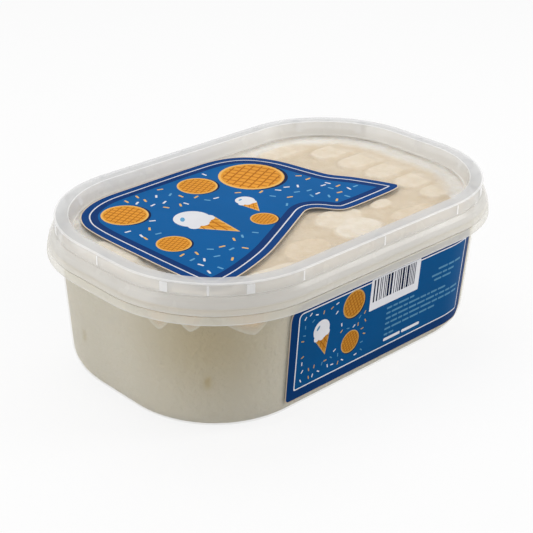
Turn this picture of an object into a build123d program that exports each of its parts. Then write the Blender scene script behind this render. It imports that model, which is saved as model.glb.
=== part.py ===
from build123d import *
import os
from math import atan2, cos, degrees, radians, sin

# A tub of vanilla ice cream with its lid pressed on.
# X is the long axis, the front label is on the -Y side and +Z is up.
# The origin is the middle of the base. Sizes are in millimetres.
#
# Every level outline is one rounded rectangle, the outer edge of the lid's ring,
# moved outwards by "out". A depth is measured down from the top of the ring.

# Overall
ring_length = 175.0
ring_width = 113.6
corner_radius = 45.8
total_height = 63.5

# Lid: ring, recessed panel, upright collar, groove, bulging skirt and gripping bead
lid_wall = 0.8
ring_land = 5.5
ring_fillet = 0.6
panel_depth = 5.8
panel_lean = 1.5
collar_depth = 4.6
groove_depth = 5.0
groove_out = -0.25
skirt_top_out = 0.3
shoulder_depth = 6.4
shoulder_out = 1.2
bulge_depth = 8.8
bulge_out = 2.2
skirt_depth = 11.0
skirt_out = 2.7
bead_height = 0.7
bead_reach = 0.7

# Gussets in the ring: thin ones on the flats and mid corner, wide ones beside those
gusset_thin = 0.7
gusset_wide = 1.8
mid_angle = 45.0
wide_angles = (25.5, 65.0)

# Tub: tapered body, thick lip, ledge and hanging curtain
tub_wall = 0.8
base_in = 5.0
neck_in = 1.5
base_fillet = 9.8
rim_gap = 0.25
lip_height = 3.8
ledge_gap = 0.2
curtain_depth = 14.3
curtain_out = 3.2

# Ice cream: ribbons laid along X, with wide lobes on top of them
fill_gap = 0.1
wall_contact = 50.0
crown_in = 7.0
ribbon_pitch = 11.4
ribbon_base = 42.8
ribbon_rise = 8.0
ribbon_vary = 1.2
lobe_count = 5
lobe_pitch = 18.5
lobe_width = 22.0
lobe_thickness = 9.0
lobe_draft = 28.0
lobe_setback = 14.0

# Labels
film = 0.15
panel_label_gap = 1.2
panel_label_corner = 13.0
panel_label_sharp_corner = 3.0
panel_label_tip = 1.5
side_label_left = 45.7
side_label_right = 57.0
side_label_bottom = 7.6
side_label_gap = 1.3
side_label_corner = 5.5
side_label_sharp_corner = 2.0

# The lid label's edge, as shares of the panel's half length and half width
label_left = -0.865
label_foot = [(-0.80, -0.785), (-0.66, -0.735), (-0.48, -0.655), (-0.29, -0.525), (0.07, -0.29)]
label_notch = [(0.07, -0.29), (0.125, -0.41), (0.215, -0.468), (0.52, -0.445)]
label_tip = (0.602, -0.39)
label_flank = [(0.575, -0.26), (0.445, 0.09), (0.40, 0.28), (0.375, 0.72), (0.19, 0.93)]
label_top = 0.975

# Worked out from the sizes above
half_length = ring_length / 2
half_width = ring_width / 2
corner_x = half_length - corner_radius
corner_y = half_width - corner_radius
ledge_depth = skirt_depth + ledge_gap
ledge_z = total_height - ledge_depth
panel_z = total_height - panel_depth
panel_in = ring_land + panel_lean
rim_depth = collar_depth + 2 * rim_gap


def outline(out):
    """The level outline, moved outwards by out."""
    RectangleRounded(ring_length + 2 * out, ring_width + 2 * out, corner_radius + out)


def slice_between(z_low, out_low, z_high, out_high, mode=Mode.ADD):
    """A slice whose outline changes evenly from one height to another."""
    with BuildSketch(Plane.XY.offset(z_low)) as foot:
        outline(out_low)
    lean = degrees(atan2(out_low - out_high, z_high - z_low))
    extrude(foot.sketch, amount=z_high - z_low, taper=lean, mode=mode)


def stack(profile, mode=Mode.ADD):
    """Slices through a list of (depth, out), from the lowest up."""
    for (deep, out_deep), (shallow, out_shallow) in zip(profile, profile[1:]):
        slice_between(total_height - deep, out_deep, total_height - shallow, out_shallow, mode)


def body_out(z):
    """How far the tub's tapered outside stands out at height z."""
    return -base_in + (base_in - neck_in) * z / ledge_z


def tapered_body(inset, bottom, top):
    """A solid shaped like the tub's body, smaller by inset all round, with a rounded foot."""
    with BuildPart() as body:
        slice_between(bottom, body_out(bottom) - inset, top, body_out(top) - inset)
        fillet(body.edges().group_by(Axis.Z)[0], base_fillet - inset)
    return body.part


def gusset_places():
    """Place, outward angle and thickness of each gusset in the lid's ring."""
    places = []
    for side in (-1, 1):
        places.append((side * half_length, 0, 0, gusset_thin))
        for x in (-corner_x, 0, corner_x):
            places.append((x, side * half_width, 90, gusset_thin))
    corner_angles = [(mid_angle, gusset_thin)] + [(angle, gusset_wide) for angle in wide_angles]
    for side_x in (-1, 1):
        for side_y in (-1, 1):
            for angle, thickness in corner_angles:
                x = side_x * (corner_x + corner_radius * cos(radians(angle)))
                y = side_y * (corner_y + corner_radius * sin(radians(angle)))
                places.append((x, y, side_x * side_y * angle, thickness))
    return places


# Lid
lid_outside = [
    (skirt_depth, skirt_out),
    (bulge_depth, bulge_out),
    (shoulder_depth, shoulder_out),
    (groove_depth, skirt_top_out),
]
lid_inside = [
    (skirt_depth, skirt_out - lid_wall),
    (bulge_depth, bulge_out - lid_wall),
    (shoulder_depth, shoulder_out - lid_wall),
    (groove_depth, -lid_wall),
    (lid_wall, -lid_wall),
]
lip_foot_depth = rim_depth + lip_height
bead_top_depth = lip_foot_depth + rim_gap
bead_out = bulge_out - lid_wall - bead_reach
plug_out = lid_wall - ring_land

with BuildPart() as lid_hollow:
    stack(lid_inside)
    slice_between(
        panel_z - lid_wall, plug_out - panel_lean * (1 + lid_wall / panel_depth),
        total_height, plug_out, Mode.SUBTRACT,
    )
    for x, y, angle, thickness in gusset_places():
        with Locations(Location((x, y, total_height - collar_depth / 2), (0, 0, angle))):
            Box(3 * ring_land, thickness, collar_depth, mode=Mode.SUBTRACT)

with BuildPart() as lid:
    stack(lid_outside)
    stack([(groove_depth, groove_out), (collar_depth, groove_out)])
    slice_between(total_height - collar_depth, 0, total_height, 0)
    slice_between(panel_z, -panel_in, total_height, -ring_land, Mode.SUBTRACT)
    fillet(lid.edges().group_by(Axis.Z)[-1], ring_fillet)
    add(lid_hollow.part, mode=Mode.SUBTRACT)
    with BuildSketch(Plane.XY.offset(total_height - bead_top_depth - bead_height)):
        outline(bulge_out - lid_wall / 2)
        with BuildSketch(mode=Mode.SUBTRACT):
            outline(bead_out)
    extrude(amount=bead_height)
lid.part.label = "lid"

# Tub
lip = [
    (lip_foot_depth, bulge_out - lid_wall - rim_gap),
    (bulge_depth, bulge_out - lid_wall - rim_gap),
    (shoulder_depth, shoulder_out - lid_wall - rim_gap),
    (rim_depth, -lid_wall - rim_gap),
]
tub_space = tapered_body(tub_wall, tub_wall, ledge_z)

with BuildPart() as tub:
    stack([(curtain_depth, curtain_out), (ledge_depth, skirt_out)])
    stack(
        [(curtain_depth, curtain_out - tub_wall), (ledge_depth + tub_wall, skirt_out - tub_wall)],
        Mode.SUBTRACT,
    )
    add(tapered_body(0, 0, ledge_z))
    slice_between(ledge_z, -neck_in, total_height - rim_depth, -neck_in)
    stack(lip)
    add(tub_space, mode=Mode.SUBTRACT)
    slice_between(ledge_z, -neck_in - tub_wall, total_height - rim_depth, -neck_in - tub_wall, Mode.SUBTRACT)
tub.part.label = "tub"

# Ice cream
fill_inset = tub_wall + fill_gap
crown_z = panel_z - lid_wall - fill_gap
lobe_foot = crown_z - lobe_thickness
contact_out = body_out(wall_contact) - fill_inset

with BuildPart() as fill_space:
    add(tapered_body(fill_inset, fill_inset, wall_contact))
    slice_between(wall_contact, contact_out, crown_z, contact_out - crown_in)

with BuildPart() as ice_cream:
    slice_between(0, 0, ribbon_base, 0)
    ribbon_reach = int(half_width / ribbon_pitch)
    with BuildSketch(Plane.YZ.offset(-half_length)):
        for number in range(-ribbon_reach, ribbon_reach + 1):
            rise = ribbon_rise + ribbon_vary * sin(2.1 * number)
            with Locations((number * ribbon_pitch, ribbon_base)):
                Ellipse(0.52 * ribbon_pitch, rise)
    extrude(amount=ring_length)
    for number in range(lobe_count):
        y = (number - (lobe_count - 1) / 2) * lobe_pitch
        start = -half_length
        end = half_length - lobe_setback * (1 + abs(sin(1.7 * number)))
        with BuildSketch(Plane.XY.offset(lobe_foot)) as lobe_plan:
            with Locations(((start + end) / 2, y)):
                SlotOverall(end - start, lobe_width)
        extrude(lobe_plan.sketch, amount=lobe_thickness, taper=lobe_draft)
    add(fill_space.part, mode=Mode.INTERSECT)
ice_cream.part.label = "ice_cream"

# Label on the lid's panel
panel_half_length = half_length - panel_in
panel_half_width = half_width - panel_in


def on_panel(point):
    """A label point, from shares of the panel's half sizes to millimetres."""
    return (point[0] * panel_half_length, point[1] * panel_half_width)


with BuildPart() as lid_label:
    with BuildSketch(Plane.XY.offset(panel_z)) as label_plan:
        with BuildLine():
            foot = Spline(*[on_panel(point) for point in label_foot])
            notch = Spline(*[on_panel(point) for point in label_notch])
            flank = Spline(*[on_panel(point) for point in label_flank])
            tip = on_panel(label_tip)
            top_left = on_panel((label_left, label_top))
            Polyline(notch @ 1, tip, flank @ 0)
            Polyline(flank @ 1, on_panel((0, label_top)), top_left, (top_left[0], (foot @ 0).Y), foot @ 0)
        make_face()
        with BuildSketch(mode=Mode.INTERSECT):
            outline(-panel_in - panel_label_gap)
        fillet(label_plan.vertices().sort_by(Axis.X)[-1], panel_label_tip)
        left_edge = label_plan.vertices().group_by(Axis.X)[0].sort_by(Axis.Y)
        fillet(left_edge[-1], panel_label_corner)
        left_edge = label_plan.vertices().group_by(Axis.X)[0].sort_by(Axis.Y)
        fillet(left_edge[0], panel_label_sharp_corner)
    extrude(amount=film)
lid_label.part.label = "lid_label"

# Labels on the long sides, the back one the same as the front one turned round
side_label_top = total_height - curtain_depth - side_label_gap

with BuildPart() as wrap:
    slice_between(0, body_out(0) + film, ledge_z, body_out(ledge_z) + film)
    slice_between(0, body_out(0), ledge_z, body_out(ledge_z), Mode.SUBTRACT)


def side_label(turn):
    """A label wrapped on the long side, turned about Z by turn degrees."""
    with BuildPart() as label:
        with BuildSketch(Plane.XZ):
            with BuildLine():
                low, high = side_label_bottom, side_label_top
                FilletPolyline(
                    (-side_label_left, low), (side_label_right, low),
                    (side_label_right, high), (-side_label_left, high),
                    radius=(side_label_sharp_corner, side_label_corner, side_label_corner, side_label_corner),
                    close=True,
                )
            make_face()
        extrude(amount=half_width)
        add(wrap.part, mode=Mode.INTERSECT)
    return label.part.rotate(Axis.Z, turn)


side_label_front = side_label(0)
side_label_front.label = "side_label_front"
side_label_back = side_label(180)
side_label_back.label = "side_label_back"

os.makedirs("parts", exist_ok=True)
export_step(tub.part, "parts/tub.step")
export_step(lid.part, "parts/lid.step")
export_step(ice_cream.part, "parts/ice_cream.step")
export_step(lid_label.part, "parts/lid_label.step")
export_step(side_label_front, "parts/side_label_front.step")
export_step(side_label_back, "parts/side_label_back.step")
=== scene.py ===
import math
import random

import bmesh
import bpy
from mathutils import Matrix, Vector
from mathutils.geometry import delaunay_2d_cdt


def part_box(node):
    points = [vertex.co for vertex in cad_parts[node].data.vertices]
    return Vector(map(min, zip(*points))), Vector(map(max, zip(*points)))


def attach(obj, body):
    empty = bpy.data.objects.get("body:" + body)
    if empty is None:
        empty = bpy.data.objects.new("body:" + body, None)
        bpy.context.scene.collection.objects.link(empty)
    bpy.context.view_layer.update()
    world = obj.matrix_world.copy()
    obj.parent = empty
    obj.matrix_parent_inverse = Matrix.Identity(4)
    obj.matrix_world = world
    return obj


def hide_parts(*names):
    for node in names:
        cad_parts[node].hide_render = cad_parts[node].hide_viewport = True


# A closed tub of vanilla ice cream. Metres; X is the long axis, the front label faces -Y.
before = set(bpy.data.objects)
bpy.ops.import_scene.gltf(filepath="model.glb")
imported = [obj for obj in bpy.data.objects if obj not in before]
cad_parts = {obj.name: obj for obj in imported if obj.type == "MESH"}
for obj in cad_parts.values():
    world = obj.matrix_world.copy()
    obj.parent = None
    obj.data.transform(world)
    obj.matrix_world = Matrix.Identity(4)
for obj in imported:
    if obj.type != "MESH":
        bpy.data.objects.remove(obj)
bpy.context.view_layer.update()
scene = bpy.context.scene

MM = 0.001

# ---------------------------------------------------------------- sizes
lid_low, lid_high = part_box("lid")
tub_low, tub_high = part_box("tub")
ice_low, ice_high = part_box("ice_cream")
label_low, label_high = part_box("lid_label")
front_low, front_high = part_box("side_label_front")

top_z = lid_high.z
skirt_out = 2.7 * MM
half_length = lid_high.x - skirt_out
half_width = lid_high.y - skirt_out
corner_radius = 45.8 * MM
corner_x = half_length - corner_radius
corner_y = half_width - corner_radius
corner_run = math.pi / 2 * corner_radius
rim_run = 4 * (corner_x + corner_y + corner_run)

wall = 0.8 * MM
ring_land = 5.5 * MM
panel_z = label_low.z
panel_in = 7.0 * MM
base_in = 5.0 * MM
neck_in = 1.5 * MM
base_fillet = 9.8 * MM
skirt_foot_z = lid_low.z
curtain_foot_z = top_z - 14.3 * MM
curtain_out = tub_high.x - half_length
ledge_z = skirt_foot_z - 0.2 * MM
rim_top_z = tub_high.z
film = 0.15 * MM


def depth(millimetres):
    """The height that lies so many millimetres below the ring's top."""
    return top_z - millimetres * MM


def body_out(z):
    """How far the tub's tapered outside stands out from the rim's outline at height z."""
    return -base_in + (base_in - neck_in) * z / ledge_z


def rim_point(s, out):
    """The point at distance s round the rim from the middle of the front, and out from it."""
    s = s % rim_run
    legs = (
        (corner_x, 0.0), (corner_run, 1.0), (2 * corner_y, 0.0), (corner_run, 1.0), (2 * corner_x, 0.0),
        (corner_run, 1.0), (2 * corner_y, 0.0), (corner_run, 1.0), (corner_x, 0.0),
    )
    directions = ((1, 0), None, (0, 1), None, (-1, 0), None, (0, -1), None, (1, 0))
    x, y, turn = 0.0, -corner_y, 0.0
    for (length, bend), direction in zip(legs, directions):
        step = min(s, length)
        if bend:
            turn += math.pi / 2 * step / length
        else:
            x += direction[0] * step
            y += direction[1] * step
        s -= step
        if s <= 0:
            break
    reach = corner_radius + out
    return Vector((x + reach * math.sin(turn), y - reach * math.cos(turn)))


def rim_inside(point):
    """How far out from the rim's outline a point lies, negative inside it."""
    dx, dy = max(abs(point[0]) - corner_x, 0.0), max(abs(point[1]) - corner_y, 0.0)
    return math.hypot(dx, dy) - corner_radius


# ---------------------------------------------------------------- colours and materials
def paint(red, green, blue):
    """A colour given as 0 to 255 screen values, as a linear RGBA."""
    linear = []
    for value in (red, green, blue):
        share = value / 255
        linear.append(share / 12.92 if share <= 0.04045 else ((share + 0.055) / 1.055) ** 2.4)
    return (*linear, 1.0)


def new_material(name, roughness, coat=0.0, alpha=1.0):
    """A material with one Principled shader, and that shader."""
    material = bpy.data.materials.new(name)
    material.use_nodes = True
    shader = material.node_tree.nodes["Principled BSDF"]
    shader.inputs["Roughness"].default_value = roughness
    shader.inputs["Coat Weight"].default_value = coat
    shader.inputs["Coat Roughness"].default_value = 0.12
    shader.inputs["Alpha"].default_value = alpha
    return material, shader


def noise_factor(material, scale, detail=3.0, low=0.35, high=0.65, vector=None):
    """A noise pattern on the object's own coordinates, as a factor from 0 to 1."""
    nodes, links = material.node_tree.nodes, material.node_tree.links
    if vector is None:
        vector = nodes.new("ShaderNodeTexCoord").outputs["Object"]
    noise = nodes.new("ShaderNodeTexNoise")
    noise.inputs["Scale"].default_value = scale
    noise.inputs["Detail"].default_value = detail
    links.new(vector, noise.inputs["Vector"])
    spread = nodes.new("ShaderNodeMapRange")
    spread.inputs["From Min"].default_value = low
    spread.inputs["From Max"].default_value = high
    links.new(noise.outputs["Fac"], spread.inputs["Value"])
    return spread.outputs["Result"]


def mix_colours(material, factor, first, second):
    """Two colours, or sockets, mixed by a factor."""
    nodes, links = material.node_tree.nodes, material.node_tree.links
    mix = nodes.new("ShaderNodeMix")
    mix.data_type = "RGBA"
    links.new(factor, mix.inputs["Factor"])
    for socket, value in ((mix.inputs[6], first), (mix.inputs[7], second)):
        if isinstance(value, tuple):
            socket.default_value = value
        else:
            links.new(value, socket)
    return mix.outputs[2]


def add_bump(material, shader, height, distance, strength=1.0):
    """Relief from a height factor."""
    nodes, links = material.node_tree.nodes, material.node_tree.links
    bump = nodes.new("ShaderNodeBump")
    bump.inputs["Strength"].default_value = strength
    bump.inputs["Distance"].default_value = distance
    links.new(height, bump.inputs["Height"])
    links.new(bump.outputs["Normal"], shader.inputs["Normal"])


def vary_roughness(material, shader, factor, low, high):
    """Roughness that wanders between two values."""
    nodes, links = material.node_tree.nodes, material.node_tree.links
    spread = nodes.new("ShaderNodeMapRange")
    spread.inputs["To Min"].default_value = low
    spread.inputs["To Max"].default_value = high
    links.new(factor, spread.inputs["Value"])
    links.new(spread.outputs["Result"], shader.inputs["Roughness"])


def moulded_plastic(name, light, dark, alpha, roughness, milk=0.5):
    """Translucent moulded polypropylene, a little uneven, that lets light seep through it."""
    material, shader = new_material(name, roughness, alpha=alpha)
    shader.inputs["Subsurface Weight"].default_value = milk
    shader.inputs["Subsurface Radius"].default_value = (1.0, 0.95, 0.9)
    shader.inputs["Subsurface Scale"].default_value = 4 * MM
    cloud = noise_factor(material, 28.0)
    colour = mix_colours(material, cloud, light, dark)
    material.node_tree.links.new(colour, shader.inputs["Base Color"])
    vary_roughness(material, shader, noise_factor(material, 90.0), roughness * 0.75, roughness * 1.3)
    add_bump(material, shader, noise_factor(material, 140.0, detail=2.0), 0.006 * MM, 0.4)
    return material


def ink(name, colour, shade=None, roughness=0.34, scale=60.0):
    """Glossy printing ink on film, very slightly mottled."""
    material, shader = new_material(name, roughness)
    shader.inputs["Specular IOR Level"].default_value = 0.02
    darker = shade or tuple(channel * 0.86 for channel in colour[:3]) + (1.0,)
    mottle = noise_factor(material, scale, detail=5.0, low=0.3, high=0.7)
    material.node_tree.links.new(mix_colours(material, mottle, colour, darker), shader.inputs["Base Color"])
    add_bump(material, shader, noise_factor(material, 900.0, detail=2.0), 0.008 * MM, 0.5)
    return material


def colour_steps(material, factor, steps):
    """A colour that runs through (position, colour) steps as the factor rises."""
    nodes, links = material.node_tree.nodes, material.node_tree.links
    ramp = nodes.new("ShaderNodeValToRGB")
    ramp.color_ramp.elements[0].position, ramp.color_ramp.elements[0].color = steps[0]
    ramp.color_ramp.elements[1].position, ramp.color_ramp.elements[1].color = steps[-1]
    for position, colour in steps[1:-1]:
        ramp.color_ramp.elements.new(position).color = colour
    links.new(factor, ramp.inputs["Fac"])
    return ramp.outputs["Color"]


def frozen_cream():
    """Vanilla ice cream: tan in the hollows and paler where it is pressed flat, partly its own colour and partly
    painted shade and painted light; olive through the wall, deepened by painted shade at the near corner; light
    peach where it draws back from the wall, partly painted light.
    """
    material, shader = new_material("vanilla_ice_cream", 0.55)
    nodes, links = material.node_tree.nodes, material.node_tree.links
    shader.inputs["Specular IOR Level"].default_value = 0.3
    shader.inputs["Subsurface Weight"].default_value = 0.15
    shader.inputs["Subsurface Radius"].default_value = (1.0, 0.7, 0.4)
    shader.inputs["Subsurface Scale"].default_value = 3 * MM
    tone, touch, hollow = (nodes.new("ShaderNodeAttribute") for _ in range(3))
    tone.attribute_name, touch.attribute_name, hollow.attribute_name = "tone", "against_wall", "hollow"
    # the top runs from tan to near white: partly the cream's own colour, partly painted shade in the hollows and
    # painted light where it is pressed to the lid
    top = colour_steps(material, tone.outputs["Fac"], (
        (0.0, paint(204, 192, 164)), (0.34, paint(230, 213, 188)), (0.7, paint(240, 230, 214)),
        (1.0, paint(250, 247, 242)),
    ))
    # against the wall: pale at the frost line up to deep olive, the deepening partly painted shade from wall_tone
    side = colour_steps(material, tone.outputs["Fac"], (
        (0.0, paint(212, 206, 188)), (0.25, paint(200, 194, 178)), (1.0, paint(170, 152, 106)),
    ))
    fleck = noise_factor(material, 260.0, detail=8.0, low=0.25, high=0.75)
    grain = nodes.new("ShaderNodeMix")
    grain.data_type, grain.blend_type = "RGBA", "MULTIPLY"
    grain.inputs["Factor"].default_value = 1.0
    links.new(top, grain.inputs[6])
    links.new(mix_colours(material, fleck, paint(255, 255, 255), paint(242, 237, 227)), grain.inputs[7])
    # where the cream draws back from the wall it turns a light peach: partly its own colour, partly painted light
    # that offsets the shade in the gap
    open_cream = mix_colours(material, hollow.outputs["Fac"], grain.outputs[2], paint(255, 214, 162))
    full = mix_colours(material, touch.outputs["Fac"], open_cream, side)
    links.new(full, shader.inputs["Base Color"])
    add_bump(material, shader, noise_factor(material, 520.0, detail=8.0), 0.25 * MM, 0.8)
    return material


lid_plastic = moulded_plastic("clear_lid_plastic", paint(250, 248, 244), paint(243, 241, 237), 0.42, 0.22, 0.0)
# painted highlight: a whiter, glossier, more opaque copy of the lid plastic, laid as bright lines along edges
highlight_edge_plastic = moulded_plastic("painted_highlight_plastic", paint(255, 255, 255), paint(250, 250, 250), 0.6, 0.14, 0.0)
double_plastic = moulded_plastic("double_skirt_plastic", paint(244, 240, 230), paint(238, 234, 224), 0.5, 0.22, 0.0)
# painted shade: a darker, greyer copy of the lid plastic for the ring's flat top
shaded_ring_top_plastic = moulded_plastic("painted_shade_ring_top_plastic", paint(222, 223, 225), paint(215, 216, 218), 0.55, 0.2, 0.0)
panel_plastic = moulded_plastic("clear_panel_plastic", paint(228, 226, 222), paint(222, 220, 216), 0.06, 0.2, 0.0)
rim_plastic = moulded_plastic("milky_rim_plastic", paint(240, 236, 224), paint(234, 230, 218), 0.45, 0.26, 0.0)
tub_plastic = moulded_plastic("milky_tub_plastic", paint(240, 236, 224), paint(234, 230, 218), 0.14, 0.26, 0.0)
rib_plastic = moulded_plastic("gusset_plastic", paint(255, 255, 255), paint(250, 250, 250), 0.75, 0.2, 0.0)
rib_side_plastic = moulded_plastic("gusset_side_plastic", paint(240, 240, 240), paint(232, 232, 232), 0.04, 0.2, 0.0)
ice_cream_finish = frozen_cream()
PRINT_COLOURS = {
    "cream": (232, 214, 190), "navy": (0, 64, 130), "deep": (0, 52, 114), "white": (232, 232, 236),
    "blue": (0, 94, 160), "sky": (104, 168, 208), "amber": (232, 158, 54), "umber": (184, 108, 22),
    "petal": (242, 190, 104), "night": (8, 28, 68),
}


def inks_for(place, strength):
    """One ink for each print colour, a little deeper on labels that stand in shade."""
    inks = {}
    for name, colour in PRINT_COLOURS.items():
        full = [channel * (1.0 if name == "white" else strength) for channel in colour]
        worn = paint(*(channel * 0.93 for channel in full))
        inks[name] = ink(f"{place}_{name}_ink", paint(*full), worn, scale=30.0)
    return inks


LID_INKS = inks_for("lid", 1.0)
SIDE_INKS = inks_for("side", 0.84)


# ---------------------------------------------------------------- the rim-following node tree
def rim_tree():
    """A node tree that wraps a flat layout round the rim.

    In the layout X runs along the rim from the middle of the front, Y stands out from it
    and Z is the height. The rim is a rounded rectangle of the named sizes.
    """
    tree = bpy.data.node_groups.new("wrap_round_rim", "GeometryNodeTree")
    face = tree.interface
    face.new_socket("Geometry", in_out="INPUT", socket_type="NodeSocketGeometry")
    for name in ("Corner X", "Corner Y", "Corner Radius", "Weld"):
        face.new_socket(name, in_out="INPUT", socket_type="NodeSocketFloat")
    face.new_socket("Material", in_out="INPUT", socket_type="NodeSocketMaterial")
    face.new_socket("Geometry", in_out="OUTPUT", socket_type="NodeSocketGeometry")
    nodes, links = tree.nodes, tree.links
    given = nodes.new("NodeGroupInput")

    def math_node(operation, first, second=None):
        node = nodes.new("ShaderNodeMath")
        node.operation = operation
        for socket, value in zip(node.inputs, (first, second)):
            if isinstance(value, (int, float)):
                socket.default_value = value
            elif value is not None:
                links.new(value, socket)
        return node.outputs[0]

    def ramp(value, start, length, amount):
        node = nodes.new("ShaderNodeMapRange")
        node.clamp = True
        links.new(value, node.inputs["Value"])
        links.new(start, node.inputs["From Min"])
        links.new(math_node("ADD", start, length), node.inputs["From Max"])
        node.inputs["To Min"].default_value = 0.0
        node.inputs["To Max"].default_value = amount
        return node.outputs["Result"]

    side_x, side_y, radius = given.outputs["Corner X"], given.outputs["Corner Y"], given.outputs["Corner Radius"]
    double_x, double_y = math_node("MULTIPLY", side_x, 2.0), math_node("MULTIPLY", side_y, 2.0)
    bend = math_node("MULTIPLY", radius, math.pi / 2)
    lengths = (side_x, bend, double_y, bend, double_x, bend, double_y, bend, side_x)
    starts = [math_node("MULTIPLY", side_x, 0.0)]
    for length in lengths:
        starts.append(math_node("ADD", starts[-1], length))
    layout = nodes.new("ShaderNodeSeparateXYZ")
    links.new(nodes.new("GeometryNodeInputPosition").outputs[0], layout.inputs[0])
    along = math_node("FLOORED_MODULO", layout.outputs["X"], starts[-1])

    def total(values):
        result = values[0]
        for value in values[1:]:
            result = math_node("ADD", result, value)
        return result

    turn = total([ramp(along, starts[leg], bend, math.pi / 2) for leg in (1, 3, 5, 7)])
    share_x = total([
        ramp(along, starts[0], side_x, 1.0), ramp(along, starts[4], double_x, -2.0),
        ramp(along, starts[8], side_x, 1.0),
    ])
    share_y = total([ramp(along, starts[2], double_y, 2.0), ramp(along, starts[6], double_y, -2.0)])
    reach = math_node("ADD", radius, layout.outputs["Y"])
    x = math_node("ADD", math_node("MULTIPLY", side_x, share_x),
                  math_node("MULTIPLY", reach, math_node("SINE", turn)))
    y = math_node("SUBTRACT", math_node("MULTIPLY", side_y, math_node("SUBTRACT", share_y, 1.0)),
                  math_node("MULTIPLY", reach, math_node("COSINE", turn)))
    place = nodes.new("ShaderNodeCombineXYZ")
    links.new(x, place.inputs["X"])
    links.new(y, place.inputs["Y"])
    links.new(layout.outputs["Z"], place.inputs["Z"])
    move = nodes.new("GeometryNodeSetPosition")
    links.new(given.outputs["Geometry"], move.inputs["Geometry"])
    links.new(place.outputs[0], move.inputs["Position"])
    weld = nodes.new("GeometryNodeMergeByDistance")
    links.new(move.outputs[0], weld.inputs["Geometry"])
    links.new(given.outputs["Weld"], weld.inputs["Distance"])
    real = nodes.new("GeometryNodeRealizeInstances")
    links.new(weld.outputs[0], real.inputs[0])
    finish = nodes.new("GeometryNodeSetMaterial")
    links.new(real.outputs[0], finish.inputs["Geometry"])
    links.new(given.outputs["Material"], finish.inputs["Material"])
    links.new(finish.outputs[0], nodes.new("NodeGroupOutput").inputs[0])
    return tree


RIM_TREE = rim_tree()


def set_input(modifier, name, value):
    """Sets a modifier's input by its socket's identifier."""
    for item in modifier.node_group.interface.items_tree:
        if item.item_type == "SOCKET" and item.in_out == "INPUT" and item.name == name:
            modifier[item.identifier] = value


def new_object(name, mesh):
    piece = bpy.data.objects.new(name, mesh)
    scene.collection.objects.link(piece)
    return piece


def bake(piece):
    """Turns a piece with live modifiers into a plain mesh."""
    graph = bpy.context.evaluated_depsgraph_get()
    mesh = bpy.data.meshes.new_from_object(piece.evaluated_get(graph), depsgraph=graph)
    piece.modifiers.clear()
    old = piece.data
    piece.data = mesh
    bpy.data.meshes.remove(old)
    return piece


def wrap(name, verts, faces, material):
    """A flat layout of points and faces, wrapped round the rim and made a plain mesh."""
    mesh = bpy.data.meshes.new(name)
    mesh.from_pydata(verts, [], faces)
    mesh.materials.append(material)
    piece = new_object(name, mesh)
    modifier = piece.modifiers.new("wrap", "NODES")
    modifier.node_group = RIM_TREE
    set_input(modifier, "Corner X", corner_x)
    set_input(modifier, "Corner Y", corner_y)
    set_input(modifier, "Corner Radius", corner_radius)
    set_input(modifier, "Weld", 0.002 * MM)
    set_input(modifier, "Material", material)
    return bake(piece)


def round_corners(profile, steps=4):
    """A profile of (out, z, radius) points with each corner rounded."""
    path = []
    for number, (out, z, radius) in enumerate(profile):
        here = Vector((out, z))
        if radius == 0 or number in (0, len(profile) - 1):
            path.append(here)
            continue
        before = Vector(profile[number - 1][:2]) - here
        after = Vector(profile[number + 1][:2]) - here
        half = before.angle(after) / 2
        run = min(radius / math.tan(half), before.length * 0.49, after.length * 0.49)
        start, end = here + before.normalized() * run, here + after.normalized() * run
        for step in range(steps + 1):
            t = step / steps
            path.append(start * (1 - t) ** 2 + here * 2 * t * (1 - t) + end * t ** 2)
    return path


def swept_shell(name, profile, material, columns=288):
    """A profile swept round the whole rim, its two open ends closed flat across."""
    path = round_corners(profile)
    verts, faces = [], []
    for out, z in path:
        for column in range(columns + 1):
            verts.append((rim_run * column / columns, out, z))
    width = columns + 1
    for row in range(len(path) - 1):
        for column in range(columns):
            corner = row * width + column
            faces.append((corner, corner + 1, corner + width + 1, corner + width))
    # the last column is the first one again, so it stops just short of a whole turn
    verts = [(0.0 if abs(x - rim_run) < 1e-9 else x, y, z) for x, y, z in verts]
    piece = wrap(name, verts, faces, material)
    shell = bmesh.new()
    shell.from_mesh(piece.data)
    bmesh.ops.holes_fill(shell, edges=[edge for edge in shell.edges if edge.is_boundary], sides=0)
    bmesh.ops.recalc_face_normals(shell, faces=shell.faces)
    for face in shell.faces:
        face.smooth = True
    shell.to_mesh(piece.data)
    shell.free()
    return piece


# ---------------------------------------------------------------- lid
def finish_faces(piece, rules):
    """Gives each face the material of the first rule that its place, as (out, z), meets."""
    slots = {}
    for _, material in rules:
        slots[material.name] = len(piece.data.materials)
        piece.data.materials.append(material)
    for face in piece.data.polygons:
        out, z = rim_inside(face.center), face.center.z
        for meets, material in rules:
            if meets(out, z):
                face.material_index = slots[material.name]
                break


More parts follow.
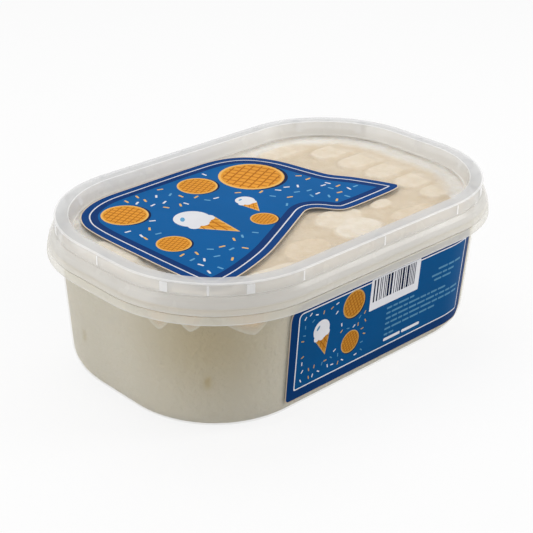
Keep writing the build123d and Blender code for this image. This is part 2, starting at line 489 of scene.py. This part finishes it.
def make_lid():
    soft = 0.35 * MM
    profile = [
        (-panel_in - 2.5 * MM, panel_z, 0),
        (-panel_in, panel_z, 1.0 * MM),
        (-ring_land, top_z, 0.7 * MM),
        (0.0, top_z, 0.8 * MM),
        (0.0, depth(4.5), 0.15 * MM),
        (-0.25 * MM, depth(4.65), 0),
        (-0.25 * MM, depth(4.95), 0.1 * MM),
        (0.45 * MM, depth(5.1), 0.4 * MM),
        (1.35 * MM, depth(6.5), 3.0 * MM),
        (2.25 * MM, depth(8.8), 3.0 * MM),
        (skirt_out, skirt_foot_z, soft),
        (skirt_out - wall, skirt_foot_z, soft),
        (1.6 * MM, depth(9.9), 0.1 * MM),
        (0.7 * MM, depth(9.7), 0.2 * MM),
        (0.7 * MM, depth(9.3), 0.2 * MM),
        (1.4 * MM, depth(9.0), 0.1 * MM),
        (0.4 * MM, depth(6.4), 1.0 * MM),
        (-wall, depth(5.0), 0.3 * MM),
        (-wall, top_z - wall, 0.4 * MM),
        (-ring_land + wall, top_z - wall, 0.4 * MM),
        (-panel_in + wall * 0.8, panel_z - wall, 0.4 * MM),
        (-panel_in - 2.5 * MM, panel_z - wall, 0),
    ]
    piece = swept_shell("lid_shell", profile, lid_plastic)
    finish_faces(piece, [
        (lambda out, z: out < -panel_in - 0.3 * MM, panel_plastic),
        # painted shade: the ring's flat top gets the darker copy of the lid plastic
        (lambda out, z: -ring_land + 0.35 * MM < out < -0.75 * MM and z > depth(0.2), shaded_ring_top_plastic),
        # painted highlight: bright lines along the ring's outer and inner top edges, the groove and the skirt's foot
        (lambda out, z: -0.75 * MM < out and z > depth(0.6), highlight_edge_plastic),
        (lambda out, z: abs(out + ring_land) < 0.35 * MM and z > depth(0.4), highlight_edge_plastic),
        (lambda out, z: depth(4.75) < z < depth(4.3) and out > -0.5 * MM, highlight_edge_plastic),
        (lambda out, z: z < skirt_foot_z + 0.25 * MM, highlight_edge_plastic),
        (lambda out, z: z < depth(8.4), double_plastic),
    ])
    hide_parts("lid")
    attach(piece, "root")


def make_gussets():
    """Upright ribs inside the ring, thin ones on the flats and at mid corner, wide ones between."""
    thin, wide = 0.75 * MM, 2.9 * MM
    quarter = corner_x + corner_run / 2
    places = [(0.0, thin), (corner_x, thin), (quarter, thin)]
    places += [(corner_x + corner_run * share, wide) for share in (0.296, 0.716)]
    whole = []
    for s, thick in places:
        for mirror in (s, -s, rim_run / 2 + s, rim_run / 2 - s):
            if (round(mirror % rim_run, 6), thick) not in whole:
                whole.append((round(mirror % rim_run, 6), thick))
    whole += [(rim_run / 4, thin), (3 * rim_run / 4, thin)]
    verts, faces = [], []
    low, high = depth(4.4), top_z - wall
    for s, thick in whole:
        inner_low = -ring_land - (panel_in - ring_land) * 0.75 + wall * 0.5
        section = ((0.03 * MM, low), (0.03 * MM, top_z - 0.85 * MM), (-0.8 * MM, high), (-ring_land + wall, high),
                   (inner_low, low))
        first = len(verts)
        for side in (-0.5, 0.5):
            verts += [(s + side * thick, out, z) for out, z in section]
        a, b = range(first, first + 5), range(first + 5, first + 10)
        faces += [tuple(reversed(a)), tuple(b)]
        faces += [(a[i], a[(i + 1) % 5], b[(i + 1) % 5], b[i]) for i in range(5)]
    piece = wrap("lid_gussets", verts, faces, rib_plastic)
    piece.data.materials.append(rib_side_plastic)
    for number, face in enumerate(piece.data.polygons):
        face.material_index = 1 if number % 7 < 2 else 0
    shell = bmesh.new()
    shell.from_mesh(piece.data)
    bmesh.ops.recalc_face_normals(shell, faces=shell.faces)
    shell.to_mesh(piece.data)
    shell.free()
    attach(piece, "root")


# ---------------------------------------------------------------- tub
def make_tub():
    inner_fillet = base_fillet - wall
    arc_steps = 10
    profile = []
    for step in range(arc_steps + 1):
        angle = math.pi / 2 * step / arc_steps
        z = base_fillet * (1 - math.cos(angle))
        profile.append((body_out(z) - base_fillet * (1 - math.sin(angle)), z, 0))
    profile += [
        (body_out(ledge_z - wall), ledge_z - wall, 0.3 * MM),
        (curtain_out - 0.45 * MM - wall, ledge_z - wall, 0.3 * MM),
        (curtain_out - wall, curtain_foot_z, 0.25 * MM),
        (curtain_out, curtain_foot_z, 0.25 * MM),
        (curtain_out - 0.4 * MM, ledge_z, 0.3 * MM),
        (-neck_in, ledge_z, 0.3 * MM),
        (-neck_in, depth(8.9), 0.1 * MM),
        (1.1 * MM, depth(8.9), 0.3 * MM),
        (0.15 * MM, depth(6.4), 0.8 * MM),
        (-1.05 * MM, rim_top_z, 0.3 * MM),
        (-neck_in - wall, rim_top_z, 0.2 * MM),
        (-neck_in - wall, ledge_z, 0),
    ]
    for step in range(arc_steps, -1, -1):
        angle = math.pi / 2 * step / arc_steps
        z = inner_fillet * (1 - math.cos(angle)) + wall
        profile.append((body_out(z) - wall - inner_fillet * (1 - math.sin(angle)), z, 0))
    piece = swept_shell("tub_shell", profile, tub_plastic)
    finish_faces(piece, [
        # painted highlight: a bright line along the curtain's foot
        (lambda out, z: z < curtain_foot_z + 0.3 * MM and out > 0, highlight_edge_plastic),
        (lambda out, z: out > 0 or z > ledge_z - 0.2 * MM, rim_plastic),
    ])
    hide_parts("tub")
    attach(piece, "root")


# ---------------------------------------------------------------- ice cream
crown = ice_high.z / MM
# where the ribbons leave the wall: distance round the rim, how far down, reach each way (millimetres)
dips = [
    (-96.8, 7.4, 8.2, 6.8), (-84.5, 6.4, 6.2, 7.4), (-90.5, 2.4, 12.0, 12.0), (-60.5, 8.4, 15.5, 8.0),
    (-113.6, 5.6, 3.6, 3.6),
    (-131.4, 5.4, 3.0, 3.0), (38.0, 6.0, 9.0, 6.0), (60.0, 7.0, 7.0, 7.0), (80.0, 5.0, 6.0, 9.0),
    (101.0, 6.5, 7.0, 7.0), (125.0, 6.0, 8.0, 8.0), (150.0, 7.0, 8.0, 8.0), (175.0, 5.0, 9.0, 7.0),
]
# ribbons pressed flat under the lid: left end, right tip, centre line, half width (millimetres)
ribbons = [
    (28.0, 63.6, 38.6, 6.4), (46.8, 75.0, 24.8, 7.6), (47.5, 78.6, 9.8, 7.5), (48.2, 79.3, -4.8, 7.6),
    (50.0, 77.1, -19.6, 7.8), (49.3, 70.5, -33.0, 6.8),
]
# other pressed patches: centre x and y, half sizes, lightness (millimetres); the lightness is partly painted light,
# and the last patch, just in front of the label at the near left, mostly offsets the shade cast there by the ring
# and the label
patches = [
    (9.0, -25.0, 14.5, 9.0, 0.6), (8.0, -37.0, 13.0, 10.5, 0.74), (31.5, -27.0, 6.0, 4.6, 0.6),
    (34.0, -41.0, 15.5, 7.0, 0.42), (-20.0, -37.0, 13.0, 10.0, 0.38), (-72.0, 8.0, 6.0, 14.0, 0.3),
    (-66.0, 40.0, 10.0, 6.0, 0.8), (-46.0, -46.0, 26.0, 10.0, 0.7),
]


def contact_height(s):
    """The height in millimetres at which the ice cream leaves the wall, with a scallop between ribbons."""
    here = ((s + rim_run / 2) % rim_run - rim_run / 2) / MM
    fall = 0.0
    for place, down, before, after in dips:
        gap = (here - place) / (after if here > place else before)
        if abs(gap) < 1:
            fall = max(fall, down * (1 - abs(gap) ** 1.4))
    return 50.0 - fall


def pressed(gap, soft):
    """How far a spot is pressed up against the lid: 1 well inside a patch, 0 beyond its edge."""
    if gap >= 1:
        return 0.0
    if gap <= 1 - soft:
        return 1.0
    fade = (1 - gap) / soft
    return fade * fade * (3 - 2 * fade)


def cream_top(x, y):
    """Height and lightness of the ice cream's top at (x, y), all in millimetres. The lightness is partly the cream's
    own colour and partly painted: painted shade in the hollows, painted light where it is pressed to the lid, and
    painted light at the near left end to offset the shade cast by the ring and the label.
    """
    wander = 0.7 * math.sin(x / 5.3 + y / 7.1) + 0.5 * math.sin(x / 3.1 - y / 4.3)
    edge = -rim_inside((x * MM, y * MM)) / MM
    level = crown - 0.75 + 0.12 * wander
    tone = 0.28 if y > -14 else 0.3
    # painted light: the near left end is made paler to offset the shade that the ring and the label cast there
    if x < -60:
        tone = 0.75
    if edge < 21 and (y > 16 or x > 58):
        tone = max(tone, min(1.0, 1.0 - (edge - 12.0) / 9.0))
    if x < 70:
        tone = max(tone, min(0.95, (y - 34 - 0.12 * abs(x - 30)) / 10))
    for left, tip, middle, half in ribbons:
        along = x - left + 0.4 * wander
        length = tip - left
        if not 0 < along < length:
            continue
        wide = half
        if along < half:
            wide = half * math.sqrt(1 - ((half - along) / half) ** 2)
        press = pressed(abs(y - middle) / max(wide, 0.01), 0.34) * pressed(along / length, 0.6)
        level = max(level, crown - 0.75 + 0.95 * press)
        # paler where pressed to the lid: partly the cream's own colour, partly painted light
        if press > 0:
            tone = max(tone, 0.28 + 0.28 * press)
    for cx, cy, half_x, half_y, light in patches:
        gap = math.hypot((x - cx + wander) / half_x, (y - cy + 0.6 * wander) / half_y)
        press = pressed(gap, 0.34)
        level = max(level, crown - 0.75 + 0.95 * press)
        # paler where pressed to the lid: partly the cream's own colour, partly painted light
        if press > 0:
            tone = max(tone, light * press)
    return level, min(max(tone, 0.0), 1.0)


def wall_tone(s, z):
    """How olive the ice cream reads against the wall: a painted shade, deepest high up at the near corner, over an
    even base, with two small olive spots lower down.
    """
    here = (s + rim_run / 2) % rim_run - rim_run / 2
    # painted shade: the olive deepens round the near corner, where that corner lies in shade under the rim
    deep = math.exp(-((here / MM + 78) / 26) ** 2 - ((z / MM - 40) / 22) ** 2)
    seep = max(math.exp(-((here / MM - spot) / 1.5) ** 2 - ((z / MM - 22.5) / 2.2) ** 2) for spot in (-78.2, -141.0))
    return min(1.0, 0.25 + 0.6 * deep + 0.5 * seep)


def make_ice_cream():
    columns, rings = 520, 104
    overlap = 0.2 * MM
    runs = [rim_run * column / columns for column in range(columns)]
    foot_round = base_fillet - wall
    verts, faces, against, tones, hollows = [], [], [], [], []
    foot_rows = []
    for step in range(7):
        angle = math.pi / 2 * step / 6
        foot_rows.append((foot_round * (1 - math.cos(angle)) + wall, foot_round * (1 - math.sin(angle))))
    for z, inward in foot_rows:
        for s in runs:
            verts.append((*rim_point(s, body_out(z) - wall + overlap - inward), z - overlap * (z < 2 * MM)))
            against.append(1.0)
            tones.append(wall_tone(s, z))
    wall_rows = 18
    for row in range(1, wall_rows + 1):
        for s in runs:
            reach = contact_height(s) * MM - 0.45 * MM * (row < wall_rows) - foot_rows[-1][0]
            z = foot_rows[-1][0] + reach * min(row / (wall_rows - 1), 1.0)
            verts.append((*rim_point(s, body_out(z) - wall + overlap), z))
            against.append(1.0)
            tones.append(wall_tone(s, z) if row < wall_rows else 0.0)
    hollows += [0.0] * len(verts)
    last = len(foot_rows) + wall_rows - 1
    edge = verts[last * columns:(last + 1) * columns]
    for ring in range(1, rings + 1):
        share = 1 - (ring / rings) ** 1.25 if ring < rings else 0.0
        for x, y, z in edge:
            px, py = x * share, y * share
            t = min(math.hypot(x - px, y - py) / MM / 4.4, 1.0)
            low = z / MM
            level, tone = cream_top(px / MM, py / MM)
            height = min(low + (crown + 0.3 - low) * math.sqrt(1 - (1 - t) ** 2), level, crown + 0.25)
            verts.append((px, py, height * MM))
            against.append(0.0)
            tones.append(tone)
            # how far the cream has drawn back from the wall, for the light peach that is partly painted light
            hollows.append(max(0.0, 1 - t * 1.6))
            if share == 0.0:
                break
    full_rows = last + rings
    for row in range(full_rows - 1):
        for column in range(columns):
            after = (column + 1) % columns
            faces.append((row * columns + column, row * columns + after,
                          (row + 1) * columns + after, (row + 1) * columns + column))
    centre, top = len(verts) - 1, (full_rows - 1) * columns
    faces += [(top + column, top + (column + 1) % columns, centre) for column in range(columns)]
    faces.append(tuple(reversed(range(columns))))
    mesh = bpy.data.meshes.new("ice_cream_fill")
    mesh.from_pydata(verts, [], faces)
    mesh.materials.append(ice_cream_finish)
    for label, values in (("against_wall", against), ("tone", tones), ("hollow", hollows)):
        mesh.attributes.new(label, "FLOAT", "POINT").data.foreach_set("value", values)
    mesh.polygons.foreach_set("use_smooth", [True] * len(mesh.polygons))
    piece = new_object("ice_cream_fill", mesh)
    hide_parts("ice_cream")
    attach(piece, "root")


# ---------------------------------------------------------------- drawing the print
def anticlockwise(path):
    """The path, turned round if it runs clockwise."""
    area = sum(a.x * b.y - b.x * a.y for a, b in zip(path, path[1:] + path[:1]))
    return path if area > 0 else path[::-1]


def smooth(points, steps=6, closed=True):
    """A smooth curve through a few points."""
    count = len(points)
    path = []
    spans = count if closed else count - 1
    for number in range(spans):
        if closed:
            a, b, c, d = (Vector(points[(number + k) % count]) for k in (-1, 0, 1, 2))
        else:
            a, b, c, d = (Vector(points[min(max(number + k, 0), count - 1)]) for k in (-1, 0, 1, 2))
        for step in range(steps):
            t = step / steps
            path.append(0.5 * (2 * b + (c - a) * t + (2 * a - 5 * b + 4 * c - d) * t ** 2
                               + (3 * b - a - 3 * c + d) * t ** 3))
    if not closed:
        path.append(Vector(points[-1]))
    return path


def inset(path, amount):
    """A closed path moved inwards; where a corner is too tight for it, the points that cross are left out."""
    path = anticlockwise(path)
    moved = []
    for number, point in enumerate(path):
        along = path[(number + 1) % len(path)] - path[number - 1]
        place = point + Vector((-along.y, along.x)).normalized() * amount
        if min((place - other).length for other in path) > 0.97 * amount:
            moved.append(place)
    return moved


def oval(x, y, wide, high, tilt=0.0, steps=36):
    turn = Matrix.Rotation(math.radians(tilt), 2)
    angles = [2 * math.pi * step / steps for step in range(steps)]
    return [Vector((x, y)) + turn @ Vector((wide * math.cos(a), high * math.sin(a))) for a in angles]


def bar(x, y, wide, high, tilt=0.0, corner=None):
    """A rectangle with rounded corners, centred on (x, y)."""
    corner = min(high, wide) * 0.35 if corner is None else corner
    turn = Matrix.Rotation(math.radians(tilt), 2)
    path = []
    for side_x, side_y, first in ((1, -1, -90), (1, 1, 0), (-1, 1, 90), (-1, -1, 180)):
        for step in range(5):
            a = math.radians(first + 90 * step / 4)
            path.append(Vector((side_x * (wide / 2 - corner) + corner * math.cos(a),
                                side_y * (high / 2 - corner) + corner * math.sin(a))))
    return [Vector((x, y)) + turn @ point for point in path]


def stroke(points, width, steps=8, taper=True):
    """A brush stroke along a smooth open curve, thin at both ends."""
    path = smooth(points, steps, closed=False)
    left, right = [], []
    for number, point in enumerate(path):
        along = path[min(number + 1, len(path) - 1)] - path[max(number - 1, 0)]
        share = number / (len(path) - 1)
        half = width / 2 * ((0.35 + 0.65 * math.sin(math.pi * share)) if taper else 1.0)
        side = Vector((-along.y, along.x)).normalized() * half
        left.append(point + side)
        right.append(point - side)
    return right + left[::-1]


def wafer(x, y, radius):
    """A round ice cream wafer: a pale rim, a baked face and a slanted lattice."""
    fields = [
        ("night", oval(x + radius * 0.05, y - radius * 0.07, radius * 1.02, radius * 1.02)),
        ("petal", oval(x, y, radius, radius)), ("amber", oval(x, y, radius * 0.92, radius * 0.92)),
    ]
    for tilt in (24, 114):
        across = Matrix.Rotation(math.radians(tilt + 90), 2) @ Vector((1.0, 0.0))
        for number in range(-3, 4):
            away = radius * 0.25 * number
            spot = Vector((x, y)) + across * away
            length = 2 * math.sqrt((radius * 0.87) ** 2 - away ** 2)
            fields.append(("umber", bar(spot.x, spot.y, length, radius * 0.05, tilt)))
    return fields


def cone(x, y, size, tilt):
    """A plain wafer cone with one scoop of ice cream, standing at a tilt."""
    turn = Matrix.Rotation(math.radians(tilt), 2)

    def at(across, up):
        return Vector((x, y)) + turn @ Vector((size * across, size * up))

    left, tip, right = at(-0.44, 0.06), at(0.0, -1.0), at(0.44, 0.06)
    fields = [("petal", [left, tip, right]), ("amber", [at(-0.37, 0.04), at(0.0, -0.88), at(0.37, 0.04)])]
    for share in (0.25, 0.5, 0.75):
        for corner, other in ((left, right), (right, left)):
            start, end = corner.lerp(tip, share), corner.lerp(other, share)
            slant = math.degrees(math.atan2(end.y - start.y, end.x - start.x))
            middle = (start + end) / 2
            fields.append(("umber", bar(middle.x, middle.y, (end - start).length * 0.9, size * 0.035, slant)))
    for across, up, radius in ((0.0, 0.38, 0.47), (-0.34, 0.1, 0.15), (-0.06, 0.04, 0.17), (0.28, 0.09, 0.16)):
        middle = at(across, up)
        fields.append(("white", oval(middle.x, middle.y, size * radius, size * radius)))
    shine = at(-0.16, 0.56)
    return fields + [("sky", oval(shine.x, shine.y, size * 0.13, size * 0.06, tilt + 35, 16))]


def holds(path, spot):
    """Whether a closed path has a spot inside it."""
    inside = False
    for a, b in zip(path, path[1:] + path[:1]):
        if (a.y > spot.y) != (b.y > spot.y) and spot.x < a.x + (spot.y - a.y) * (b.x - a.x) / (b.y - a.y):
            inside = not inside
    return inside


def sprinkles(field, taken, pitch, size, seed):
    """Short sugar sprinkles strewn over a field, clear of the round places already taken."""
    draw = random.Random(seed)
    columns = int((max(point.x for point in field) - min(point.x for point in field)) / pitch) + 1
    rows = int((max(point.y for point in field) - min(point.y for point in field)) / pitch) + 1
    first = Vector((min(point.x for point in field), min(point.y for point in field)))
    strewn = []
    for number in range(columns * rows):
        cell = Vector((number % columns + draw.uniform(0.2, 0.8), number // columns + draw.uniform(0.2, 0.8)))
        spot, tilt, ink_name = first + cell * pitch, draw.uniform(0, 180), draw.choice(("white", "sky", "petal"))
        if holds(field, spot) and all((spot - Vector((x, y))).length > radius + size for x, y, radius in taken):
            strewn.append((ink_name, bar(spot.x, spot.y, size, size * 0.32, tilt)))
    return strewn


def print_sheet(name, fields, palette, place, cuts=()):
    """A printed film: fields laid over each other flat, each ink where it shows, then put in place.

    fields is a list of (ink, closed path), a later one over an earlier one, and palette holds the inks. place turns
    a flat point and its height above the film's foot into a point in space.
    """
    verts, loops = [], []
    for _, path in fields:
        first = len(verts)
        verts += anticlockwise(path)
        loops.append(list(range(first, len(verts))))
    edges = []
    for (ax, ay), (bx, by) in cuts:
        edges.append((len(verts), len(verts) + 1))
        verts += [Vector((ax, ay)), Vector((bx, by))]
    points, _, faces, _, _, owners = delaunay_2d_cdt(verts, edges, loops, 1, 1e-5, True)
    names = sorted({ink_name for ink_name, _ in fields})
    mesh = bpy.data.meshes.new(name)
    kept, inks = [], []
    for face, owner in zip(faces, owners):
        if owner:
            kept.append(tuple(face))
            inks.append(names.index(fields[max(owner)][0]))
    mesh.from_pydata([(point.x, point.y, 0.0) for point in points], [], kept)
    for ink_name in names:
        mesh.materials.append(palette[ink_name])
    mesh.polygons.foreach_set("material_index", inks)
    sheet = bmesh.new()
    sheet.from_mesh(mesh)
    loose = [vert for vert in sheet.verts if not vert.link_faces]
    bmesh.ops.delete(sheet, geom=loose, context="VERTS")
    for face in sheet.faces:
        if face.normal.z < 0:
            face.normal_flip()
    rim_edges = [edge for edge in sheet.edges if edge.is_boundary]
    made = bmesh.ops.extrude_edge_only(sheet, edges=rim_edges)
    low = {item for item in made["geom"] if isinstance(item, bmesh.types.BMVert)}
    for vert in sheet.verts:
        vert.co = place(vert.co.x, vert.co.y, 0.02 * MM if vert in low else film)
    sheet.to_mesh(mesh)
    sheet.free()
    return new_object(name, mesh)


# ---------------------------------------------------------------- lid label
def lid_label_fields():
    outline = smooth([
        (-70.6, 24), (-70.4, 0), (-69.4, -27), (-68.2, -35.2), (-64.8, -38.2), (-57, -38), (-46, -35.5),
        (-32.9, -31.1), (-18.6, -24.3), (-4.3, -17), (3.4, -13.5), (8.0, -15.1), (12.2, -20.8), (17, -23.3),
        (32, -23.3), (44.2, -22.7), (48.2, -21.2), (48.5, -17.8), (42.1, -3.4), (36.4, 5.8), (34.3, 14.3),
        (30.7, 31), (23.5, 42.6), (12, 48.3), (-4, 49.3), (-30, 49), (-49, 48.2), (-61.5, 43.2), (-68.2, 35.2),
    ])
    fields = [("cream", outline)]
    for ink_name, margin in (("navy", 0.45), ("white", 3.3), ("deep", 3.85), ("blue", 6.7)):
        fields.append((ink_name, inset(outline, margin)))
    wafers = ((10.5, 25.5, 13.6), (-12.6, 32.6, 8.2), (-14.5, -8.4, 5.4), (-52.0, 29.5, 9.2), (-54.5, -2.5, 6.6))
    cones = ((-33.5, 4.0, 15.5, 16), (-9.0, 6.0, 8.4, -14))
    fields += sprinkles(inset(outline, 8.6), wafers + tuple((x, y, size) for x, y, size, _ in cones), 5.6, 2.6, 4)
    for x, y, radius in wafers:
        fields += wafer(x, y, radius)
    for x, y, size, tilt in cones:
        fields += cone(x, y, size, tilt)
    return fields


def make_lid_label():
    def on_panel(x, y, lift):
        return Vector((x * MM, y * MM, panel_z + lift))

    piece = print_sheet("lid_label_print", lid_label_fields(), LID_INKS, on_panel)
    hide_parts("lid_label")
    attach(piece, "root")


# ---------------------------------------------------------------- side labels
def side_label_fields(seed):
    left, right, low, high = -45.7, 58.2, 8.0, 48.9
    corners = ((right, low, 5.5, -90), (right, high, 5.0, 0), (left, high, 6.5, 90), (left, low, 2.0, 180))

    def plate(margin):
        """The label's outline moved in by a margin, its corners rounded less the further in it lies."""
        path = []
        for x, y, corner, first in corners:
            radius = max(corner - margin, 0.8)
            reach = margin + radius
            middle = Vector((x - math.copysign(reach, x), y + (reach if y == low else -reach)))
            for step in range(7):
                turn = math.radians(first + 15 * step)
                path.append(middle + radius * Vector((math.cos(turn), math.sin(turn))))
        return path

    fields = [("cream", plate(0.0)), ("navy", plate(0.45)), ("white", plate(4.2)), ("blue", plate(4.7))]
    wafers = ((-12.6, 38.6, 5.8), (-12.8, 22.4, 4.8))
    field = [Vector(corner) for corner in ((-39.5, 14.5), (-5.0, 14.5), (-5.0, 43.5), (-39.5, 43.5))]
    fields += sprinkles(field, wafers + ((-28.4, 30.0, 8.6),), 3.2, 1.5, 7)
    for x, y, radius in wafers:
        fields += wafer(x, y, radius)
    fields += cone(-28.4, 30.6, 8.8, 14)
    fields += [("white", bar(10.2, 38.6, 27.8, 13.6, 0, 0.4))]
    draw = random.Random(seed)
    x = -2.2
    while x < 21.6:
        wide = draw.choice((0.45, 0.45, 0.8, 1.2))
        fields.append(("night", bar(x + wide / 2, 40.0, wide, 9.6, 0, 0.02)))
        x += wide + draw.choice((0.5, 0.5, 0.9))
    lines = ((29.4, 6.8, 15.9), (27.1, 6.8, 35.0), (24.8, 6.8, 44.5), (22.5, 6.8, 44.5), (20.1, 6.8, 29.5),
             (17.6, 6.8, 5.5), (36.8, 35.9, 15.0), (34.4, 32.3, 14.5), (32.2, 34.0, 11.5))
    for y, start, length in lines:
        x = start
        while x < start + length - 0.8:
            wide = min(draw.uniform(1.6, 6.5), start + length - x)
            fields.append(("sky", bar(x + wide / 2, y, wide, 0.85, 0, 0.35)))
            x += wide + 0.55
    fields += [("white", bar(11.6, 15.3, 9.6, 1.3, 0, 0.5)), ("white", bar(22.6, 15.3, 10.6, 1.3, 0, 0.5))]
    return fields


def make_side_label(name, node, middle):
    """A printed film wrapped on the wall, its flat layout starting at distance middle round the rim."""
    def on_wall(x, y, lift):
        z = y * MM
        s = middle + x * MM
        side = rim_point(s, body_out(z) + lift)
        return Vector((side.x, side.y, z))

    cuts = [((x, 8.1), (x, 48.8)) for x in [42 + 1.5 * k for k in range(11)] + [-42, -43.5]]
    piece = print_sheet(name, side_label_fields(5), SIDE_INKS, on_wall, cuts)
    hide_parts(node)
    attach(piece, "root")


# ---------------------------------------------------------------- set, lamps and camera
def make_stage():
    floor_material, shader = new_material("white_floor", 0.9)
    nodes, links = floor_material.node_tree.nodes, floor_material.node_tree.links
    shader.inputs["Base Color"].default_value = paint(242, 242, 242)
    mesh = bpy.data.meshes.new("floor")
    mesh.from_pydata([(-3, -3, 0), (3, -3, 0), (3, 3, 0), (-3, 3, 0)], [], [(0, 1, 2, 3)])
    mesh.materials.append(floor_material)
    floor = new_object("floor", mesh)
    glow = nodes.new("ShaderNodeEmission")
    glow.inputs["Strength"].default_value = 1.0
    path = nodes.new("ShaderNodeLightPath")
    seen = path.outputs["Is Camera Ray"]
    for other in ("Is Glossy Ray", "Is Transmission Ray"):
        add = nodes.new("ShaderNodeMath")
        add.operation = "ADD"
        add.use_clamp = True
        links.new(seen, add.inputs[0])
        links.new(path.outputs[other], add.inputs[1])
        seen = add.outputs[0]
    part = nodes.new("ShaderNodeMath")
    part.operation = "MULTIPLY"
    part.inputs[1].default_value = 0.86
    links.new(seen, part.inputs[0])
    mix = nodes.new("ShaderNodeMixShader")
    links.new(part.outputs[0], mix.inputs[0])
    links.new(shader.outputs[0], mix.inputs[1])
    links.new(glow.outputs[0], mix.inputs[2])
    links.new(mix.outputs[0], nodes["Material Output"].inputs["Surface"])


def make_world():
    world = bpy.data.worlds.new("studio")
    scene.world = world
    world.use_nodes = True
    nodes, links = world.node_tree.nodes, world.node_tree.links
    soft = nodes["Background"]
    soft.inputs["Color"].default_value = (1, 1, 1, 1)
    soft.inputs["Strength"].default_value = 0.46
    white = nodes.new("ShaderNodeBackground")
    white.inputs["Color"].default_value = (1, 1, 1, 1)
    white.inputs["Strength"].default_value = 1.0
    path = nodes.new("ShaderNodeLightPath")
    seen = path.outputs["Is Camera Ray"]
    for other in ("Is Glossy Ray", "Is Transmission Ray"):
        add = nodes.new("ShaderNodeMath")
        add.operation = "ADD"
        add.use_clamp = True
        links.new(seen, add.inputs[0])
        links.new(path.outputs[other], add.inputs[1])
        seen = add.outputs[0]
    mix = nodes.new("ShaderNodeMixShader")
    links.new(seen, mix.inputs[0])
    links.new(soft.outputs[0], mix.inputs[1])
    links.new(white.outputs[0], mix.inputs[2])
    links.new(mix.outputs[0], nodes["World Output"].inputs["Surface"])


def softbox(name, place, aim, wide, high, power):
    lamp = bpy.data.lights.new(name, "AREA")
    lamp.shape = "RECTANGLE"
    lamp.size, lamp.size_y = wide, high
    lamp.energy = power
    holder = bpy.data.objects.new(name, lamp)
    scene.collection.objects.link(holder)
    holder.location = place
    holder.rotation_euler = (Vector(aim) - Vector(place)).to_track_quat("-Z", "Y").to_euler()


def make_lamps():
    softbox("overhead", (0.1, 0.25, 0.75), (0, 0, 0.03), 0.7, 0.5, 2.2)
    softbox("left", (-0.75, 0.25, 0.35), (0, 0, 0.04), 0.5, 0.5, 2.2)
    softbox("right", (0.5, -0.5, 0.35), (0, 0, 0.04), 0.3, 0.4, 2.4)


def make_camera():
    """Camera at the left front corner, looking down on the lid."""
    azimuth, elevation, roll = math.radians(-44.19), math.radians(26.34), math.radians(0.96)
    scale = half_length / 0.085
    aim = Vector((-0.01404, -0.00972, 0.03697)) * scale
    back = Vector((math.sin(azimuth) * math.cos(elevation), -math.cos(azimuth) * math.cos(elevation),
                   math.sin(elevation)))
    right = (-back).cross(Vector((0, 0, 1))).normalized()
    up = right.cross(-back)
    tilted_right = right * math.cos(roll) + up * math.sin(roll)
    tilted_up = up * math.cos(roll) - right * math.sin(roll)
    data = bpy.data.cameras.new("camera")
    data.sensor_width = 36.0
    data.lens = 1325.67 / 533 * data.sensor_width
    data.clip_start, data.clip_end = 0.01, 20.0
    camera = bpy.data.objects.new("camera", data)
    scene.collection.objects.link(camera)
    place = aim + back * 0.49813 * scale
    camera.matrix_world = Matrix((
        (tilted_right.x, tilted_up.x, back.x, place.x),
        (tilted_right.y, tilted_up.y, back.y, place.y),
        (tilted_right.z, tilted_up.z, back.z, place.z),
        (0, 0, 0, 1),
    ))
    scene.camera = camera


make_lid()
make_gussets()
make_tub()
make_ice_cream()
make_lid_label()
make_side_label("front_label_print", "side_label_front", 0.0)
make_side_label("back_label_print", "side_label_back", rim_run / 2)
make_stage()
make_world()
make_lamps()
make_camera()
scene.view_settings.view_transform = "Standard"
